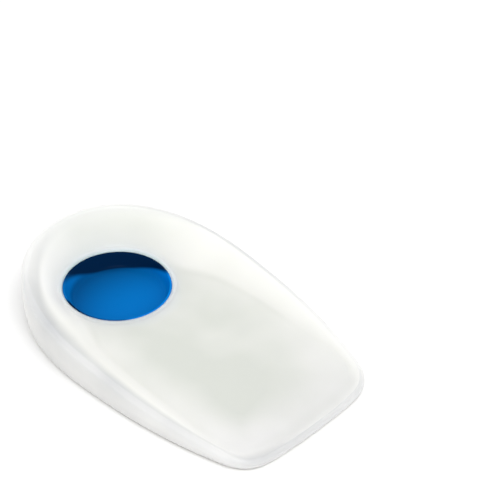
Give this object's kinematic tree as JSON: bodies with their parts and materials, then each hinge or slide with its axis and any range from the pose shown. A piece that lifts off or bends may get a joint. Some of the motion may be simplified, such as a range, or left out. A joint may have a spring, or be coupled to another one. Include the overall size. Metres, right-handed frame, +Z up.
{
  "type": "heel cup",
  "caption": "Gel heel cup: a flat-soled wedge with a raised wall round the heel, a seat that thins to the front, and a soft dished spot set under the heel bone.",
  "frame": {"origin": "centre of the bounding box's underside, on the flat sole", "axes": "+X along the length from the heel to the thin front edge, +Y across the foot, +Z up out of the sole"},
  "size_m": [0.1052, 0.0684, 0.0175],
  "materials": {
    "clear_gel": "milky translucent silicone gel, moulded with a soft gloss",
    "blue_gel": "softer deep blue silicone gel, glossy"
  },
  "bodies": {
    "root": {"cup_body": "clear_gel", "gel_spot": "blue_gel"}
  },
  "joints": []
}
